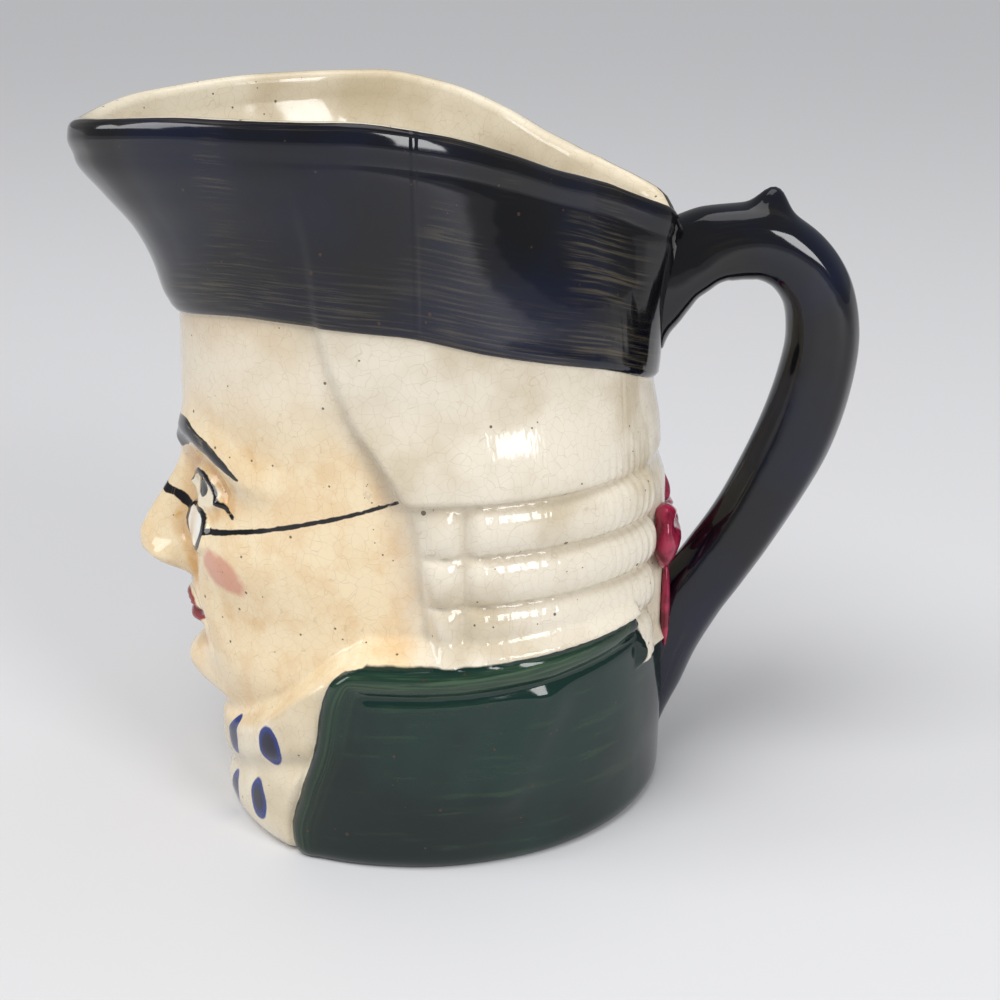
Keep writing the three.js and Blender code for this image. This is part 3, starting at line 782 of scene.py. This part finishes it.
def bodyGlaze():
    colour = glazeColour
    material, tree, shader = startMaterial("bodyGlaze", 0.09)
    lines = crazed(tree, 1.7, 0.028)
    specks = calc(tree, "MAXIMUM", specked(tree, 2.1, 0.15), specked(tree, 5.0, 0.09))
    wobble = minus(tree, grain(tree, 420.0, 2.0), 0.5)

    # Bare cream glaze, with the wig a little greyer and the face tinted
    cream = blend(tree, band(tree, grain(tree, 46.0), 0.4, 0.7), colour["cream"], colour["creamShade"])
    wigTint = blend(tree, band(tree, grain(tree, 60.0), 0.42, 0.72), colour["wig"], colour["wigShade"])
    hollow = guide(tree, "hollow")
    clouds = times(tree, minus(tree, grain(tree, 95.0, 4.0), 0.5), 1.5)
    pooled = band(tree, plus(tree, hollow, clouds), 0.05, 0.85)
    wigTint = blend(tree, times(tree, pooled, 0.5), wigTint, colour["wigShade"])
    patchy = band(tree, grain(tree, 150.0, 5.0, None, 0.62), 0.42, 0.64)
    flesh = blend(tree, times(tree, patchy, 0.26), colour["flesh"], colour["wash"])
    pooled = times(tree, pooled, plus(tree, times(tree, patchy, 0.45), 0.4))
    flesh = blend(tree, pooled, flesh, colour["wash"])
    deep = band(tree, hollow, 0.6, 1.7)
    flesh = blend(tree, times(tree, deep, 0.4), flesh, colour["washDeep"])
    wig = guide(tree, "wig")
    forehead = band(tree, placeAlong(tree, "Z"), 0.068, 0.084)
    inFace = band(tree, plus(tree, wig, times(tree, wobble, 3.0)), 1.5, -7.0)
    tinted = times(tree, inFace, minus(tree, 1.0, times(tree, forehead, 0.75)))
    head = blend(tree, tinted, wigTint, flesh)
    cheek = band(tree, plus(tree, guide(tree, "cheek"), times(tree, wobble, 0.5)), 1.12, 0.72)
    head = blend(tree, times(tree, cheek, 0.72), head, colour["pink"])
    onCloth = band(tree, guide(tree, "belowJaw"), 0.2, 1.6)
    chinTint = times(tree, band(tree, guide(tree, "belowJaw"), 5.0, 0.0), 0.35)
    cloth = blend(tree, times(tree, chinTint, patchy), cream, colour["wash"])
    ground = blend(tree, onCloth, head, cloth)
    ground = blend(tree, guide(tree, "outside"), cream, ground)
    ground = blend(tree, times(tree, lines, 0.2), ground, colour["crazing"])

    # Painted details, edges a little uneven as a brush leaves them
    def covering(name, soft):
        uneven = plus(tree, guide(tree, name), times(tree, wobble, 0.5))
        return band(tree, uneven, soft, -soft)

    ground = blend(tree, covering("eyeWhite", 0.3), ground, colour["eyeWhite"])
    ground = blend(tree, covering("glass", 0.12), ground, colour["glass"])
    ground = blend(tree, times(tree, covering("lips", 0.2), 0.94), ground, colour["lips"])
    uneven = plus(tree, guide(tree, "spots"), times(tree, grain(tree, 240.0), 1.2))
    spotTone = blend(tree, band(tree, uneven, 0.5, -1.0), colour["blue"], colour["blueDeep"])
    ground = blend(tree, covering("spots", 0.16), ground, spotTone)
    drybrush = band(tree, streaks(tree, times(tree, guide(tree, "hollow"), 2.0), 0.9), 0.36, 0.42)
    inked = times(tree, covering("ink", 0.1), plus(tree, times(tree, drybrush, 0.2), 0.8))
    ground = blend(tree, inked, ground, colour["ink"])

    # Green coat: a painted highlight along its rolled edges, laid in brush strokes, and paler brush streaks
    coat = guide(tree, "coat")
    greens = blend(tree, band(tree, grain(tree, 36.0), 0.4, 0.66), colour["green"], colour["greenDeep"])
    upright = placeAlong(tree, "Z")
    level = streaks(tree, times(tree, upright, 1 / mm), 0.6)
    edge = guide(tree, "coatEdge")
    # painted highlight: a band of paler olive along the coat's rolled front edge and collar top
    edgeHighlight = times(tree, band(tree, edge, 6.6, 2.6), band(tree, edge, 0.3, 1.4))
    # the painted highlight is stronger on the collar's upper part
    onCollar = band(tree, upright, 0.028, 0.036)
    edgeHighlight = times(tree, edgeHighlight, plus(tree, times(tree, onCollar, 0.5), 0.4))
    # the painted highlight is broken up into brush strokes along the edge
    brushed = band(tree, streaks(tree, edge, 1.3), 0.4, 0.62)
    edgeHighlight = times(tree, edgeHighlight, plus(tree, times(tree, brushed, 0.75), 0.2))
    thinAll = times(tree, band(tree, level, 0.52, 0.76), 0.24)
    # share of olive: the painted edge highlight, and the brush streaks across the coat
    palerShare = times(tree, calc(tree, "MAXIMUM", edgeHighlight, thinAll), 0.8)
    greens = blend(tree, palerShare, greens, colour["olive"])
    inCoat = band(tree, plus(tree, coat, times(tree, wobble, 0.35)), -0.2, 0.12)
    ground = blend(tree, inCoat, ground, greens)

    # Black hat, thinner towards its lower edge
    hat = guide(tree, "hat")
    blacks = blackPaint(tree, hat, 0.62)
    lowEdge = times(tree, band(tree, hat, 14.0, 1.0), band(tree, streaks(tree, hat, 2.2), 0.46, 0.7))
    blacks = blend(tree, times(tree, lowEdge, 0.5), blacks, colour["streak"])
    inHat = band(tree, plus(tree, hat, times(tree, wobble, 0.5)), 0.0, 0.22)
    ground = blend(tree, inHat, ground, blacks)
    ground = blend(tree, times(tree, specks, 0.8), ground, colour["speck"])
    tree.links.new(ground, shader.inputs["Base Color"])

    # Hair lines on the wig, brush relief and the mould's seam
    offSeam = calc(tree, "ABSOLUTE", minus(tree, placeAlong(tree, "Y"), (axisShift + 0.6) * mm))
    seamLine = times(tree, band(tree, offSeam, 0.0007, 0.0001), inHat)
    hairs = grain(tree, 1.0, 2.0, (620.0, 620.0, 40.0))
    bare = minus(tree, 1.0, calc(tree, "MAXIMUM", inCoat, inHat))
    onWig = times(tree, times(tree, band(tree, wig, 0.0, 3.0), guide(tree, "outside")), bare)
    height = plus(tree, times(tree, times(tree, hairs, onWig), 0.75), seamLine)
    height = plus(tree, height, times(tree, grain(tree, 120.0, 2.0), 0.5))
    height = minus(tree, height, times(tree, specks, 0.5))
    reliefOf(tree, height, 0.14, shader)
    return material


def handleGlaze():
    material, tree, shader = startMaterial("handleGlaze", 0.08)
    tree.links.new(blackPaint(tree, guide(tree, "around"), 0.14), shader.inputs["Base Color"])
    reliefOf(tree, grain(tree, 130.0, 2.0), 0.1, shader)
    return material


def ribbonGlaze():
    colour = glazeColour
    material, tree, shader = startMaterial("ribbonGlaze", 0.1)
    cloudy = band(tree, grain(tree, 260.0, 3.0), 0.4, 0.62)
    tone = blend(tree, cloudy, colour["crimson"], colour["crimsonDeep"])
    tree.links.new(tone, shader.inputs["Base Color"])
    reliefOf(tree, grain(tree, 500.0, 2.0), 0.1, shader)
    return material


for piece, finish in ((jugBody, bodyGlaze()), (jugHandle, handleGlaze()), (jugBow, ribbonGlaze())):
    piece.data.materials.clear()
    piece.data.materials.append(finish)
    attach(piece, "root")
    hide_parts("jug")
print("glazed")


# Studio: a pale floor, soft light and the camera at the photograph's angle
studio = {
    "floor": 24.0, "floorTone": painted(214, 214, 216), "world": painted(214, 216, 220), "worldPower": 0.34,
    "softboxes": [  # name, place, aim, width, height and power
        ("windowLight", (0.58, 0.46, 0.4), (0, 0, 0.06), 0.26, 0.42, 3.4),
        ("faceLight", (0.08, -0.75, 0.42), (0, 0, 0.06), 0.3, 0.4, 1.8),
        ("topLight", (-0.1, 0.1, 0.95), (0, 0, 0.1), 0.5, 0.5, 1.2)],
    "skyPower": 1.9, "skyAngle": 0.7, "skyTurn": (0.3, 0.45, 0),
}


def makeFloor():
    bpy.ops.object.select_all(action="DESELECT")
    bpy.ops.mesh.primitive_plane_add(size=studio["floor"])
    floor = bpy.context.object
    floor.name = "floor"
    material = bpy.data.materials.new("floor")
    material.use_nodes = True
    shader = material.node_tree.nodes["Principled BSDF"]
    shader.inputs["Base Color"].default_value = studio["floorTone"]
    shader.inputs["Roughness"].default_value = 0.7
    floor.data.materials.append(material)


def addSoftbox(name, stand, target, wide, tall, power):
    light = bpy.data.lights.new(name, "AREA")
    light.shape = "RECTANGLE"
    light.size = wide
    light.size_y = tall
    light.energy = power
    lamp = bpy.data.objects.new(name, light)
    bpy.context.scene.collection.objects.link(lamp)
    lamp.location = stand
    aim = Vector(target) - lamp.location
    lamp.rotation_euler = aim.to_track_quat("-Z", "Y").to_euler()


def addSky():  # lights the whole floor evenly and leaves no reflection of its own on the glaze
    sky = bpy.data.lights.new("skyLight", "SUN")
    sky.energy = studio["skyPower"]
    sky.angle = studio["skyAngle"]
    lamp = bpy.data.objects.new("skyLight", sky)
    bpy.context.scene.collection.objects.link(lamp)
    lamp.rotation_euler = studio["skyTurn"]
    lamp.visible_glossy = False


def makeStudio():
    makeFloor()
    world = bpy.data.worlds.new("studio")
    bpy.context.scene.world = world
    world.use_nodes = True
    back = world.node_tree.nodes["Background"]
    back.inputs[0].default_value = studio["world"]
    back.inputs[1].default_value = studio["worldPower"]
    for softbox in studio["softboxes"]:
        addSoftbox(*softbox)
    addSky()


cameraSize = {"stand": (286, 13.2, 156.2), "target": (0, 13.2, 52.9), "lens": 60.57}


def makeCamera():
    size = cameraSize
    camera = bpy.data.objects.new("camera", bpy.data.cameras.new("camera"))
    bpy.context.scene.collection.objects.link(camera)
    camera.data.lens = size["lens"]
    camera.data.sensor_width = 36
    camera.data.clip_start = 0.01
    stand, target = (Vector((x, y + axisShift, z)) * mm for x, y, z in (size["stand"], size["target"]))
    camera.location = stand
    camera.rotation_euler = (target - stand).to_track_quat("-Z", "Y").to_euler()
    bpy.context.scene.camera = camera


makeStudio()
makeCamera()
bpy.context.scene.view_settings.view_transform = "Standard"
print("studio set")
